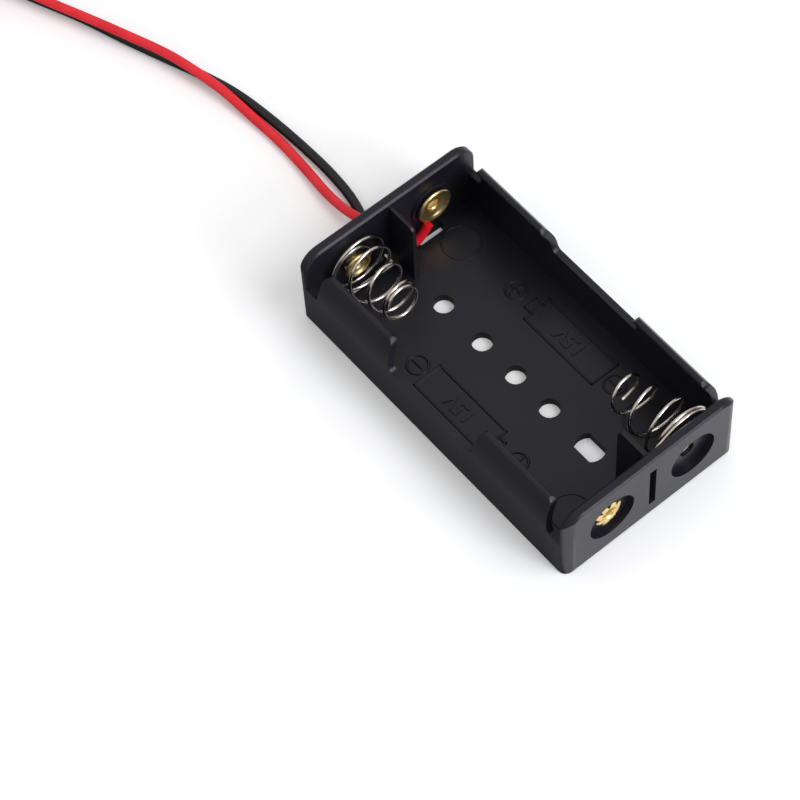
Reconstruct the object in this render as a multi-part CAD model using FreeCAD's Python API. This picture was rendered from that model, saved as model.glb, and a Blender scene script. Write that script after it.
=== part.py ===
import FreeCAD, Part
import math
import os
from FreeCAD import Vector

# Two-cell holder, millimetres. X runs along the cells, the leads leave at -X, +Z is the open side.

# Housing, outside
length = 58.0
width = 31.8
height = 14.7
floorThickness = 1.5
sideThickness = 1.1
endThickness = 1.6

# Cells: two lie side by side, head to tail
cellSpacing = 14.9
cellRadius = 7.25
cellPlay = 0.1
cellAxisHeight = floorThickness + cellRadius

# Housing, corners and edges
nearCornerRadius = 2.0
farCornerRadius = 1.0
nearFootRadius = 1.0
longFootRadius = 0.4
shoulderRadius = 3.4
rimChamfer = 0.3

# Side walls: low in the middle, with two ears each that curve over the cells
lowWallHeight = 8.6
notchHeight = 8.0
earInnerX = 8.9
earOuterX = 25.0
earSlope = 0.7
earCornerRadius = 1.4
earFootRadius = 0.9
earWrapAngle = 35.0

# Ribs between the cells, one at each end
ribThickness = 1.0
ribReach = 22.0
ribHeight = 13.9
ribCornerRadius = 1.0

# Contact seats in the end walls
contactHeight = 7.8
recessDiameter = 8.0
recessDepth = 1.2
bossDiameter = 7.5
bossHeight = 0.25
rivetHoleDiameter = 2.5

# Slot at the +X end that the link wire runs through
linkSlotWidth = 1.2
linkSlotBottom = 3.2
linkSlotTop = 12.0
linkSlotReach = 1.5

# Foot of the -X end, where the leads leave
leadWindowWidth = 6.6
leadWindowHeight = 3.2
leadWindowReach = 1.4
ribFootHeight = 0.8

# Holes, slots and moulding marks in the floor
screwHoleDiameter = 3.2
innerHoleSpacing = 14.8
outerHoleX = -16.0
keyHoleX = 16.0
keyHoleDiameter = 4.8
keyHoleFlats = 3.2
floorSlotWidth = 1.4
floorSlotLength = 4.8
floorSlotInner = 4.1
ejectorDiameter = 6.0
ejectorDepth = 0.06
ejectorSpots = ((-22.5, 8.9), (22.2, -8.9), (17.6, 8.9))

# Brass rivets
barrelDiameter = 2.4
barrelWall = 0.25
flangeThickness = 0.3
rimRoll = 0.2
positiveFlangeDiameter = 6.1
smallFlangeDiameter = 4.5
petalSpread = 4.9
petalHeight = 0.7
petalCount = 8
petalSlit = 0.22

# Contact springs, one round wire each, wound like a right-hand screw
springWire = 0.6
springTipDiameter = 6.3
springHookDiameter = 3.1
closedGap = 0.02
stepsPerTurn = 16
wireSides = 8

# Output spring: its turns, and how far it sits and leans off its contact axis
outputBaseDiameter = 10.2
outputBaseTurns = 0.75
outputConeTurns = 2.75
outputPitch = 3.2
outputTipTurns = 1.2
outputAside = 0.15
outputRaised = 0.35
outputDrift = 0.29
outputLean = 0.17

# Link spring: the same, and how its wire passes the slot; its base ring fills the bay but for two clearances
linkWallClearance = 1.57
linkRibClearance = 2.13
linkBaseY = (width / 2 - sideThickness - linkWallClearance + ribThickness / 2 + linkRibClearance) / 2
linkBaseDiameter = 2 * (width / 2 - sideThickness - linkWallClearance - linkBaseY)
linkBaseDepth = 2.38
linkBaseTurns = 1.92
linkConeTurns = 2.54
linkPitch = 4.0
linkTipTurns = 0.54
linkRaised = 0.8
linkDrift = -0.99
linkWireBelowSlotTop = 0.9

# Leads: insulated strand, stripped at both ends
leadDiameter = 1.5
strandDiameter = 0.6
strandPress = 0.3
strandTail = 5.0
tipLean = 35.0
leadClearance = 0.06
tieClearance = 0.2
coilDiameter = 17.0
coilCentre = (-84.5, -25.0)
coilBand = 1.9
coilStartAngle = 115.0
coilSweepAngle = 312.0
coilSteps = 26
blackCoilHeight = 1.02
redCoilHeight = 2.6
tieThickness = 0.2
tieWidth = 3.0
tieAngle = 250.0

farEnd = -1
nearEnd = 1
halfLength = length / 2
halfWidth = width / 2
cellY = cellSpacing / 2
bossFace = endThickness + bossHeight

# Centre lines of the leads: x is measured from the outer face of the -X end
redRoute = (
    (2.65, 5.89, 5.01), (2.7, 4.2, 2.5), (2.0, 1.85, 2.3), (-0.8, 1.9, 2.3),
    (-3.6, 1.0, 2.55), (-7.1, -0.5, 2.5), (-12.6, -0.6, 1.5), (-19.2, 0.2, 0.8),
    (-26.2, 0.5, 0.8), (-32.3, 0.1, 0.95), (-38.3, -0.5, 1.9), (-43.4, -1.6, 2.5),
    (-49.0, -2.8, 2.55), (-55.6, -5.2, 2.5), (-62.6, -7.9, 2.55), (-70.2, -11.0, 2.5),
    (-77.4, -13.6, 2.6), (-83.4, -15.4, 2.6), (-88.1, -17.3, 2.6),
)
blackRoute = (
    (2.65, -4.6, 2.55), (2.6, -3.2, 2.5), (1.9, -1.95, 1.75), (-0.8, -1.7, 0.9),
    (-4.6, 0.0, 0.8), (-9.4, 1.9, 0.8), (-15.6, 2.6, 0.8), (-23.0, 2.5, 0.8),
    (-30.6, 2.0, 0.8), (-37.6, 1.1, 0.8), (-43.9, -0.8, 0.8), (-50.4, -3.2, 0.8),
    (-57.4, -5.7, 0.8), (-64.2, -7.8, 0.8), (-71.0, -10.6, 0.85), (-77.6, -13.4, 1.0),
    (-83.4, -15.4, 1.02), (-88.1, -17.3, 1.02),
)


# Small helpers

def block(x0, x1, y0, y1, z0, z1):
    return Part.makeBox(x1 - x0, y1 - y0, z1 - z0, Vector(x0, y0, z0))


def fuse(solids):
    return solids[0].multiFuse(solids[1:]).removeSplitter()


def mirrorY(shape):
    return shape.mirror(Vector(0, 0, 0), Vector(0, 1, 0))


def roundedOutline(corners, place):
    """Closed wire through (u, v, radius) corners, each rounded by an arc."""
    arcs = []
    for i, (u, v, radius) in enumerate(corners):
        here = Vector(u, v, 0)
        toLast = Vector(*corners[i - 1][:2], 0) - here
        toNext = Vector(*corners[(i + 1) % len(corners)][:2], 0) - here
        half = toLast.getAngle(toNext) / 2
        toLast.normalize()
        toNext.normalize()
        reach = radius / math.tan(half)
        inward = (toLast + toNext).normalize()
        middle = here + inward * (radius / math.sin(half) - radius)
        arcs.append((here + toLast * reach, middle, here + toNext * reach, radius))
    edges = []
    for i, (start, middle, end, radius) in enumerate(arcs):
        if radius > 0:
            edges.append(Part.Arc(place(start), place(middle), place(end)).toShape())
        nextStart = arcs[(i + 1) % len(arcs)][0]
        edges.append(Part.makeLine(place(end), place(nextStart)))
    return Part.Wire(edges)


def prismX(corners, x0, x1):
    wire = roundedOutline(corners, lambda p: Vector(x0, p.x, p.y))
    return Part.Face(wire).extrude(Vector(x1 - x0, 0, 0))


def prismY(corners, y0, y1):
    wire = roundedOutline(corners, lambda p: Vector(p.x, y0, p.y))
    return Part.Face(wire).extrude(Vector(0, y1 - y0, 0))


def prismZ(corners, z0, z1):
    wire = roundedOutline(corners, lambda p: Vector(p.x, p.y, z0))
    return Part.Face(wire).extrude(Vector(0, 0, z1 - z0))


def endX(end, depth):
    """X of a point that lies depth inside the outer face of one end."""
    return end * (halfLength - depth)


def disc(end, side, depth0, depth1, diameter):
    """Round bar along X on a contact axis, from depth0 to depth1 below the outer face."""
    start = Vector(endX(end, depth0), side * cellY, contactHeight)
    return Part.makeCylinder(diameter / 2, depth1 - depth0, start, Vector(-end, 0, 0))


# Housing

def endWall(end):
    corners = (
        (-halfWidth, 0, longFootRadius), (halfWidth, 0, longFootRadius),
        (halfWidth, height, shoulderRadius), (-halfWidth, height, shoulderRadius),
    )
    x0, x1 = sorted((endX(end, 0), endX(end, endThickness)))
    wall = prismX(corners, x0, x1)
    return wall.makeChamfer(rimChamfer, rimEdges(wall))


def rimEdges(wall):
    """The loops round both faces of an end wall."""
    box = wall.BoundBox
    return [edge for edge in wall.Edges if edge.BoundBox.XLength < box.XLength / 2]


def sideWall():
    """The +Y wall: upright, then an arc round the cell, cut to the outline of its ears."""
    innerRadius = cellRadius + cellPlay
    outerRadius = innerRadius + sideThickness
    wrap = math.radians(earWrapAngle)
    lip = wrap + sideThickness / (innerRadius + outerRadius)

    def onArc(radius, angle):
        return Vector(0, halfWidth - outerRadius + radius * math.cos(angle),
                      cellAxisHeight + radius * math.sin(angle))

    outerFoot = Vector(0, halfWidth, 0)
    innerFoot = Vector(0, halfWidth - sideThickness, 0)
    middleRadius = (innerRadius + outerRadius) / 2
    edges = (
        Part.makeLine(outerFoot, onArc(outerRadius, 0)),
        Part.Arc(onArc(outerRadius, 0), onArc(outerRadius, wrap / 2), onArc(outerRadius, wrap)).toShape(),
        Part.Arc(onArc(outerRadius, wrap), onArc(middleRadius, lip), onArc(innerRadius, wrap)).toShape(),
        Part.Arc(onArc(innerRadius, wrap), onArc(innerRadius, wrap / 2), onArc(innerRadius, 0)).toShape(),
        Part.makeLine(onArc(innerRadius, 0), innerFoot),
        Part.makeLine(innerFoot, outerFoot),
    )
    reach = halfLength - endThickness / 2
    section = Part.Face(Part.Wire(edges)).extrude(Vector(2 * reach, 0, 0))
    section.translate(Vector(-reach, 0, 0))
    lipTop = cellAxisHeight + outerRadius * math.sin(wrap) + sideThickness / 4
    return section.common(prismY(earOutline(reach, lipTop), 0, width))


def earOutline(reach, top):
    """Side view of a long wall, from its -X end over the ears to its +X end."""
    half = (
        (reach, 0, 0), (reach, notchHeight, 0), (earOuterX, notchHeight, earFootRadius),
        (earOuterX - earSlope, top, earCornerRadius), (earInnerX + earSlope, top, earCornerRadius),
        (earInnerX, lowWallHeight, earFootRadius),
    )
    other = tuple((-x, z, radius) for x, z, radius in reversed(half))
    return half + other


def rib(end):
    corners = (
        (endX(end, endThickness / 2), ribFootHeight, 0), (end * ribReach, ribFootHeight, 0),
        (end * ribReach, ribHeight, ribCornerRadius), (endX(end, endThickness / 2), ribHeight, 0),
    )
    return prismY(corners, -ribThickness / 2, ribThickness / 2)


def envelope():
    """Rounded corners in plan and rounded foot edges, as one solid to cut to."""
    plan = (
        (-halfLength, -halfWidth, farCornerRadius), (halfLength, -halfWidth, nearCornerRadius),
        (halfLength, halfWidth, nearCornerRadius), (-halfLength, halfWidth, farCornerRadius),
    )
    side = (
        (-halfLength, 0, longFootRadius), (halfLength, 0, nearFootRadius),
        (halfLength, height, 0), (-halfLength, height, 0),
    )
    end = (
        (-halfWidth, 0, longFootRadius), (halfWidth, 0, longFootRadius),
        (halfWidth, height, 0), (-halfWidth, height, 0),
    )
    return prismZ(plan, 0, height).common(prismY(side, -halfWidth, halfWidth)).common(
        prismX(end, -halfLength, halfLength))


def contactSeats():
    """Round recesses in the outer faces and the rivet holes through what is left."""
    cuts = []
    for end in (farEnd, nearEnd):
        for side in (-1, 1):
            cuts.append(disc(end, side, -1, recessDepth, recessDiameter))
            cuts.append(disc(end, side, -1, bossFace + 1, rivetHoleDiameter))
    return cuts


def linkSlot():
    half = linkSlotWidth / 2
    inner = halfLength - endThickness - linkSlotReach
    return block(inner, halfLength + 1, -half, half, linkSlotBottom, linkSlotTop)


def leadWindows():
    """One opening each side of the rib, through the foot of the end wall and the floor."""
    inner = endX(farEnd, endThickness + leadWindowReach)
    window = block(-halfLength - 1, inner, ribThickness / 2, leadWindowWidth / 2, -1, leadWindowHeight)
    underRib = block(-halfLength - 1, inner, -ribThickness / 2, ribThickness / 2, -1, ribFootHeight)
    return [window, mirrorY(window), underRib]


def floorHoles():
    cuts = []
    for x in (outerHoleX, -innerHoleSpacing / 2, 0, innerHoleSpacing / 2):
        cuts.append(Part.makeCylinder(screwHoleDiameter / 2, floorThickness + 2, Vector(x, 0, -1)))
    key = Part.makeCylinder(keyHoleDiameter / 2, floorThickness + 2, Vector(keyHoleX, 0, -1))
    flats = block(keyHoleX - keyHoleDiameter, keyHoleX + keyHoleDiameter,
                  -keyHoleFlats / 2, keyHoleFlats / 2, -1, floorThickness + 1)
    cuts.append(key.common(flats))
    inner = endX(farEnd, endThickness)
    slot = block(inner, inner + floorSlotWidth, floorSlotInner, floorSlotInner + floorSlotLength,
                 -1, floorThickness + 0.1)
    return cuts + [slot, mirrorY(slot)]


def ejectorMarks():
    return [Part.makeCylinder(ejectorDiameter / 2, 1, Vector(x, y, floorThickness - ejectorDepth))
            for x, y in ejectorSpots]


def housing():
    reach = halfLength - endThickness / 2
    floor = block(-reach, reach, -halfWidth, halfWidth, 0, floorThickness)
    side = sideWall()
    body = [floor, side, mirrorY(side)]
    for end in (farEnd, nearEnd):
        body.append(endWall(end))
        body.append(rib(end))
        for bay in (-1, 1):
            body.append(disc(end, bay, endThickness / 2, bossFace, bossDiameter))
    cuts = contactSeats() + leadWindows() + floorHoles() + ejectorMarks() + [linkSlot()]
    return fuse(body).common(envelope()).cut(cuts).removeSplitter()


# Brass rivets

def rivet(end, side, flangeDiameter, stack):
    """Hollow rivet: dished flange inside the bay, petals spread in the recess outside."""
    outer = barrelDiameter / 2
    inner = outer - barrelWall
    flange = flangeDiameter / 2
    seat = bossFace + stack
    top = seat + flangeThickness
    profile = (
        (recessDepth, outer), (seat, outer), (seat, flange), (top + rimRoll, flange - barrelWall / 2),
        (top, flange - flangeThickness - rimRoll), (top, inner), (recessDepth, inner),
    )
    points = [Vector(endX(end, depth), side * cellY, contactHeight + radius) for depth, radius in profile]
    face = Part.Face(Part.makePolygon(points + points[:1]))
    body = face.revolve(Vector(0, side * cellY, contactHeight), Vector(1, 0, 0), 360)
    return fuse([body] + petals(end, side, outer, inner))


def petals(end, side, outer, inner):
    """Spread end of the barrel: equal petals that arch out to the recess floor."""
    rim = petalSpread / 2
    crown = (inner + rim) / 2
    arch = ((inner, 0), (inner + barrelWall, petalHeight * 0.8), (crown, petalHeight), (rim, 0),
            (rim - barrelWall, 0), (crown, petalHeight - barrelWall), (outer, 0))
    reach = rim * math.tan(math.pi / petalCount)
    points = [Vector(-end * (recessDepth - rise), -reach, radius) for radius, rise in arch]
    bar = Part.Face(Part.makePolygon(points + points[:1])).extrude(Vector(0, 2 * reach, 0))
    slit = petalSlit / 2 / math.sin(math.pi / petalCount)
    wedge = [Vector(-petalHeight * 4, 0, slit), Vector(-petalHeight * 4, reach * 2, slit + rim * 2),
             Vector(-petalHeight * 4, -reach * 2, slit + rim * 2)]
    petal = bar.common(Part.Face(Part.makePolygon(wedge + wedge[:1])).extrude(Vector(petalHeight * 8, 0, 0)))
    copies = []
    for i in range(petalCount):
        copy = petal.copy()
        copy.rotate(Vector(0, 0, 0), Vector(1, 0, 0), 360 * i / petalCount)
        copy.translate(Vector(end * halfLength, side * cellY, contactHeight))
        copies.append(copy)
    return copies


# Contact springs

def springPoint(end, y, z, radius, turn, depth, lean=0):
    """Point of a right-hand winding round (y, z); whole turns are its lowest points."""
    angle = -math.pi / 2 - end * 2 * math.pi * turn
    back = lean * radius * math.sin(angle)
    return Vector(endX(end, depth - back), y + radius * math.cos(angle), z + radius * math.sin(angle))


def springCoils(end, y, z, drift, lean, radius, depth, start, base, cone, tip, pitch):
    """Closed base turns, a cone of open turns that drifts along Y, and closed tip turns."""
    tipRadius = (springTipDiameter - springWire) / 2
    points = []
    for i in range(round((base + cone + tip - start) * stepsPerTurn) + 1):
        turn = start + i / stepsPerTurn
        share = max(0, min(1, (turn - base) / cone))
        closed = min(turn, base) + max(0, turn - base - cone)
        rise = (springWire + closedGap) * closed + pitch * cone * share
        points.append(springPoint(end, y + drift * share, z, radius + (tipRadius - radius) * share,
                                  turn, depth + rise, lean * min(1, 3 * share)))
    return points


def loft(rings):
    """Solid with straight sides through rings of equally many corners."""
    wires = [Part.makePolygon(ring + ring[:1]) for ring in rings]
    return Part.makeLoft(wires, True, True)


def wireAlong(points):
    """Spring wire along its centre line, with flats small enough to read as round."""
    rings = []
    for i, point in enumerate(points):
        along = points[min(i + 1, len(points) - 1)] - points[max(i - 1, 0)]
        along.normalize()
        upright = (Vector(1, 0, 0) - along * along.x).normalize()
        across = along.cross(upright)
        ring = []
        for j in range(wireSides):
            turn = 2 * math.pi * (j + 0.5) / wireSides
            ring.append(point + (upright * math.cos(turn) + across * math.sin(turn)) * (springWire / 2))
        rings.append(ring)
    return loft(rings)


def outputSpring():
    """Spring at the -X end: a flat hook under its rivet that opens into the base ring."""
    depth = bossFace + strandPress + springWire / 2
    hook = (springHookDiameter + springWire) / 2
    base = (outputBaseDiameter - springWire) / 2
    points = []
    for i in range(-round(1.3 * stepsPerTurn), 0):
        turn = i / stepsPerTurn
        opening = max(0, 1 + turn)
        points.append(springPoint(farEnd, -cellY + outputAside * opening, contactHeight + outputRaised * opening,
                                  hook + (base - hook) * opening, turn, depth))
    return wireAlong(points + springCoils(
        farEnd, -cellY + outputAside, contactHeight + outputRaised, outputDrift, outputLean, base, depth, 0,
        outputBaseTurns, outputConeTurns, outputTipTurns, outputPitch))


def linkSpring():
    """Spring at the +X end: its wire comes from a hook in the other bay, by the top of the slot."""
    depth = bossFace + springWire / 2
    hook = (springHookDiameter + springWire) / 2
    ring = (linkBaseDiameter - springWire) / 2
    y = linkBaseY
    z = contactHeight + linkRaised
    passHeight = linkSlotTop - linkWireBelowSlotTop
    points = []
    steps = 10
    for i in range(steps):
        turn = -0.525 - 0.67 * (1 - i / (steps - 1))
        points.append(springPoint(nearEnd, -cellY, contactHeight, hook, turn, depth))
    points.append(Vector(endX(nearEnd, (depth + linkBaseDepth) / 2), 0, passHeight))
    aim = math.pi - math.atan2(passHeight - z, y) - math.acos(ring / math.hypot(y, passHeight - z))
    start = 0.75 - aim / (2 * math.pi)
    return wireAlong(points + springCoils(
        nearEnd, y, z, linkDrift, 0, ring, linkBaseDepth, start,
        linkBaseTurns, linkConeTurns, linkTipTurns, linkPitch))


# Leads

def fromWireEnd(x, y, z):
    return Vector(x - halfLength, y, z)


def roundedRoute(route):
    """Straight runs joined by tangent arcs, each as large as its two runs allow."""
    points = [fromWireEnd(*point) for point in route]
    edges = []
    radii = []
    last = points[0]
    for before, here, after in zip(points, points[1:], points[2:]):
        back = before - here
        on = after - here
        half = (math.pi - back.getAngle(on)) / 2
        reach = 0.45 * min(back.Length, on.Length)
        radius = reach / math.tan(half)
        back.normalize()
        on.normalize()
        middle = here + (back + on).normalize() * (radius / math.cos(half) - radius)
        edges.append(Part.makeLine(last, here + back * reach))
        edges.append(Part.Arc(here + back * reach, middle, here + on * reach).toShape())
        last = here + on * reach
        radii.append(radius)
    edges.append(Part.makeLine(last, points[-1]))
    return Part.Wire(edges), radii


def sweptTube(path, diameter):
    """Tube with as many sides as the spring wire, along a path of runs and arcs."""
    start = path.Edges[0]
    at = start.valueAt(start.FirstParameter)
    along = start.tangentAt(start.FirstParameter)
    upright = (Vector(0, 0, 1) - along * along.z).normalize()
    across = along.cross(upright)
    corners = []
    for j in range(wireSides):
        turn = 2 * math.pi * (j + 0.5) / wireSides
        corners.append(at + (upright * math.cos(turn) + across * math.sin(turn)) * (diameter / 2))
    return path.makePipeShell([Part.makePolygon(corners + corners[:1])], True, False)


def leadTube(name, route):
    path, radii = roundedRoute(route)
    tube = sweptTube(path, leadDiameter)
    area = wireSides / 2 * math.sin(2 * math.pi / wireSides) * leadDiameter ** 2 / 4
    print(name, "length %.1f" % path.Length, "volume ratio %.4f" % (tube.Volume / (area * path.Length)))
    print(name, "radii", " ".join("%.1f" % radius for radius in radii))
    return tube


def coilPoint(radius, angle, z):
    turn = math.radians(angle)
    return fromWireEnd(coilCentre[0] + radius * math.cos(turn), coilCentre[1] + radius * math.sin(turn), z)


def leadCoil(name, z):
    """The put-away length: one turn, as an open ring of the turn's outer shape."""
    half = coilBand / 2
    tall = leadDiameter / 2
    section = ((half, 0.45 * tall), (0.6 * half, tall), (-0.6 * half, tall), (-half, 0.45 * tall),
               (-half, -0.45 * tall), (-0.6 * half, -tall), (0.6 * half, -tall), (half, -0.45 * tall))
    rings = []
    for i in range(coilSteps + 1):
        angle = coilStartAngle + coilSweepAngle * i / coilSteps
        rings.append([coilPoint(coilDiameter / 2 + out, angle, z + up) for out, up in section])
    print(name, "coil length %.1f" % (math.radians(coilSweepAngle) * coilDiameter / 2))
    return loft(rings)


def strandTip(z):
    """The stripped end beyond the coil, leaning in so that it clears the lead's own start."""
    end = coilStartAngle + coilSweepAngle
    start = coilPoint(coilDiameter / 2 - 0.3, end, z)
    tangent = math.radians(end + 90 + tipLean)
    along = Vector(math.cos(tangent), math.sin(tangent), 0)
    return Part.makeCylinder(strandDiameter / 2, strandTail, start, along)


def clampedStrand(side, route):
    """Stripped start of a lead: spread flat round the rivet and up to the end of the insulation."""
    front = bossFace + strandPress
    collar = disc(farEnd, side, bossFace, front, barrelDiameter + 2 * strandDiameter)
    hole = disc(farEnd, side, bossFace - 1, front + 1, barrelDiameter + leadClearance)
    start = fromWireEnd(*route[0])
    axis = Vector(endX(farEnd, bossFace), side * cellY, contactHeight)
    toLead = Vector(0, start.y - axis.y, start.z - axis.z)
    reach = toLead.Length
    toLead.normalize()
    half = toLead.cross(Vector(1, 0, 0)) * strandDiameter * 0.6
    near = axis + toLead * (barrelDiameter / 2 + leadClearance)
    far = axis + toLead * reach
    corners = [near + half, near - half, far - half, far + half, near + half]
    strip = Part.Face(Part.makePolygon(corners)).extrude(Vector(strandPress, 0, 0))
    return fuse([collar.cut(hole), strip])


def leadTie():
    """Flat band round both turns of the put-away leads."""
    bottom = 0.0
    top = redCoilHeight + leadDiameter / 2 + leadClearance + tieThickness
    inner = coilDiameter / 2 - coilBand / 2 - tieClearance - tieThickness
    outer = coilDiameter / 2 + coilBand / 2 + tieClearance + tieThickness
    half = tieWidth / 2
    round_ = 0.6
    corners = ((inner, bottom, round_), (outer, bottom, round_), (outer, top, round_), (inner, top, round_))
    t = tieThickness
    hole = ((inner + t, bottom + t, round_ - t), (outer - t, bottom + t, round_ - t),
            (outer - t, top - t, round_ - t), (inner + t, top - t, round_ - t))
    band = prismY(corners, -half, half).cut(prismY(hole, -half - 1, half + 1))
    band.rotate(Vector(0, 0, 0), Vector(0, 0, 1), tieAngle)
    band.translate(fromWireEnd(*coilCentre, 0))
    return band


def export(name, shape):
    if len(shape.Solids) == 1:
        shape = shape.Solids[0]
    print(name, shape.ShapeType, "valid", shape.isValid(), "volume %.2f" % shape.Volume)
    shape.exportStep("parts/%s.step" % name)


def exportLead(name, side, route, z):
    tube = leadTube(name, route)
    coil = leadCoil(name, z)
    tube = tube.cut(coil)
    export(name, tube)
    export(name + "_coil", coil)
    export(name + "_core", clampedStrand(side, route).cut(tube))
    export(name + "_tip", strandTip(z).cut(coil))


def build():
    os.makedirs("parts", exist_ok=True)
    export("housing", housing())
    export("positive_eyelet", rivet(farEnd, 1, positiveFlangeDiameter, strandPress))
    export("output_spring", outputSpring())
    export("output_spring_eyelet", rivet(farEnd, -1, smallFlangeDiameter, strandPress + springWire))
    export("link_spring", linkSpring())
    export("link_eyelet", rivet(nearEnd, -1, smallFlangeDiameter, springWire))
    exportLead("red_lead", 1, redRoute, redCoilHeight)
    exportLead("black_lead", -1, blackRoute, blackCoilHeight)
    export("lead_tie", leadTie())


build()
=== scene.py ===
import math

import bmesh
import bpy
import numpy as np
from mathutils import Matrix, Vector


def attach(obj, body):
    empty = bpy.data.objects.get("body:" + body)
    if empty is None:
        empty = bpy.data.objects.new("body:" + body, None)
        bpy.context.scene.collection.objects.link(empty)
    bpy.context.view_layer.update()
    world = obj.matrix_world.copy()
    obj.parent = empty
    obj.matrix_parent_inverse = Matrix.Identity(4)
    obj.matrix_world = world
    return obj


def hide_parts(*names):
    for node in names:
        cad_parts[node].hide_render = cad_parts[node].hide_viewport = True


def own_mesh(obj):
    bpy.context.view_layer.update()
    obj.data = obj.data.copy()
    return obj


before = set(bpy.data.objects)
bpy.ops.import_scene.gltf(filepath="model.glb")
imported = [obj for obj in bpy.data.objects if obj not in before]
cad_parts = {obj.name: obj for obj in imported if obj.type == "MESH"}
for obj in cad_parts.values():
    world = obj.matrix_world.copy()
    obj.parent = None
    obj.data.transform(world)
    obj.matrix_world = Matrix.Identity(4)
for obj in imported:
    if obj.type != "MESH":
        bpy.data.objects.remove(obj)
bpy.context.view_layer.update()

mm = 0.001
print("frame loaded:", len(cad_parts), "nodes")

# Camera: at the photo's angle

camera = {
    "place": (183.1965, -153.1073, 391.8900),  # mm
    "right": (0.6384268979, 0.7686107547, -0.0406030030),
    "down": (0.6458808800, -0.5636836198, -0.5148773307),
    "forward": (-0.4186275014, 0.3024868337, -0.8563017754),
    "lens": 143.6145,  # mm
    "sensor": 36,
    "nearest": 0.01,  # m
    "farthest": 20,
}


def addCamera(values):
    data = bpy.data.cameras.new("camera")
    data.lens = values["lens"]
    data.sensor_width = values["sensor"]
    data.clip_start = values["nearest"]
    data.clip_end = values["farthest"]
    viewer = bpy.data.objects.new("camera", data)
    axes = (values["right"], [-d for d in values["down"]], [-f for f in values["forward"]])
    rotation = Matrix(axes).transposed().to_4x4()
    viewer.matrix_world = Matrix.Translation(Vector(values["place"]) * mm) @ rotation
    bpy.context.scene.collection.objects.link(viewer)
    bpy.context.scene.camera = viewer


addCamera(camera)


# Materials

middle = (0.3, 0.7)  # nearly all of a noise lies between these


def linear(code):
    # sRGB hex to linear RGBA
    parts = [int(code[i:i + 2], 16) / 255 for i in (1, 3, 5)]
    return [p / 12.92 if p <= 0.04045 else ((p + 0.055) / 1.055) ** 2.4 for p in parts] + [1.0]


def addNode(material, kind, settings=None, links=None):
    # settings go to the node's own fields or its input sockets, links to its inputs
    tree = material.node_tree
    node = tree.nodes.new(kind)
    for key, value in (settings or {}).items():
        if isinstance(key, int) or key in node.inputs:
            node.inputs[key].default_value = value
        else:
            setattr(node, key, value)
    for key, (source, output) in (links or {}).items():
        tree.links.new(source.outputs[output], node.inputs[key])
    return node


def connect(material, source, output, target, socket):
    material.node_tree.links.new(source.outputs[output], target.inputs[socket])


def newMaterial(name, settings):
    # a material with one Principled shader, its output, and the coordinates for its patterns
    material = bpy.data.materials.new(name)
    material.use_nodes = True
    material.node_tree.nodes.clear()
    shader = addNode(material, "ShaderNodeBsdfPrincipled", settings)
    addNode(material, "ShaderNodeOutputMaterial", links={"Surface": (shader, "BSDF")})
    place = addNode(material, "ShaderNodeTexCoord")
    return material, shader, place


def shadeBy(material, shader, tonePattern, glossPattern, colours, roughness):
    # colour and roughness each run from their first value to their second over a pattern's middle
    tone = addNode(material, "ShaderNodeValToRGB", links={"Fac": (tonePattern, "Fac")})
    for element, spot, code in zip(tone.color_ramp.elements, middle, colours):
        element.position, element.color = spot, linear(code)
    connect(material, tone, "Color", shader, "Base Color")
    gloss = addNode(material, "ShaderNodeMapRange",
                    {"From Min": middle[0], "From Max": middle[1],
                     "To Min": roughness[0], "To Max": roughness[1]},
                    {"Value": (glossPattern, "Fac")})
    connect(material, gloss, "Result", shader, "Roughness")


def mouldedPlastic():
    # ABS, injection moulded in a spark-eroded mould: satin black, soft highlights, fine grain
    material, shader, place = newMaterial("absBlackMoulded",
                                          {"IOR": 1.54, "Specular IOR Level": 0.3})
    # flow shades about 11 mm across
    cloud = addNode(material, "ShaderNodeTexNoise", {"Scale": 90.0, "Detail": 3.0},
                    {"Vector": (place, "Object")})
    # spark grain is 0.05 mm, drawn 0.28 mm so that it shows
    grain = addNode(material, "ShaderNodeTexNoise",
                    {"Scale": 3600.0, "Detail": 2.0, "Roughness": 0.6},
                    {"Vector": (place, "Object")})
    shadeBy(material, shader, cloud, grain, ("#16151b", "#1c1b23"), (0.28, 0.38))
    bump = addNode(material, "ShaderNodeBump", {"Strength": 0.12, "Distance": 0.03 * mm},
                   {"Height": (grain, "Fac")})
    connect(material, bump, "Normal", shader, "Normal")
    return material


def nickelWire():
    # Spring steel wire, drawn and nickel plated: bright, with faint drawing marks
    material, shader, place = newMaterial("steelWireNickelPlated", {"Metallic": 1.0})
    # die marks are 0.02 mm, drawn 0.4 mm so that they show
    dieMarks = addNode(material, "ShaderNodeTexNoise", {"Scale": 2500.0, "Detail": 2.0},
                       {"Vector": (place, "Object")})
    shadeBy(material, shader, dieMarks, dieMarks, ("#cfc8be", "#dcd6cc"), (0.15, 0.20))
    return material


def pressedBrass():
    # Brass strip, pressed and rolled: warm gold, smooth with soft tool marks
    material, shader, place = newMaterial("brassPressed", {"Metallic": 1.0})
    # tool marks about 0.5 mm across
    toolMarks = addNode(material, "ShaderNodeTexNoise", {"Scale": 1800.0, "Detail": 3.0},
                        {"Vector": (place, "Object")})
    shadeBy(material, shader, toolMarks, toolMarks, ("#e9c882", "#f5dc9f"), (0.31, 0.40))
    bump = addNode(material, "ShaderNodeBump", {"Strength": 0.03, "Distance": 0.04 * mm},
                   {"Height": (toolMarks, "Fac")})
    connect(material, bump, "Normal", shader, "Normal")
    return material


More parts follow.
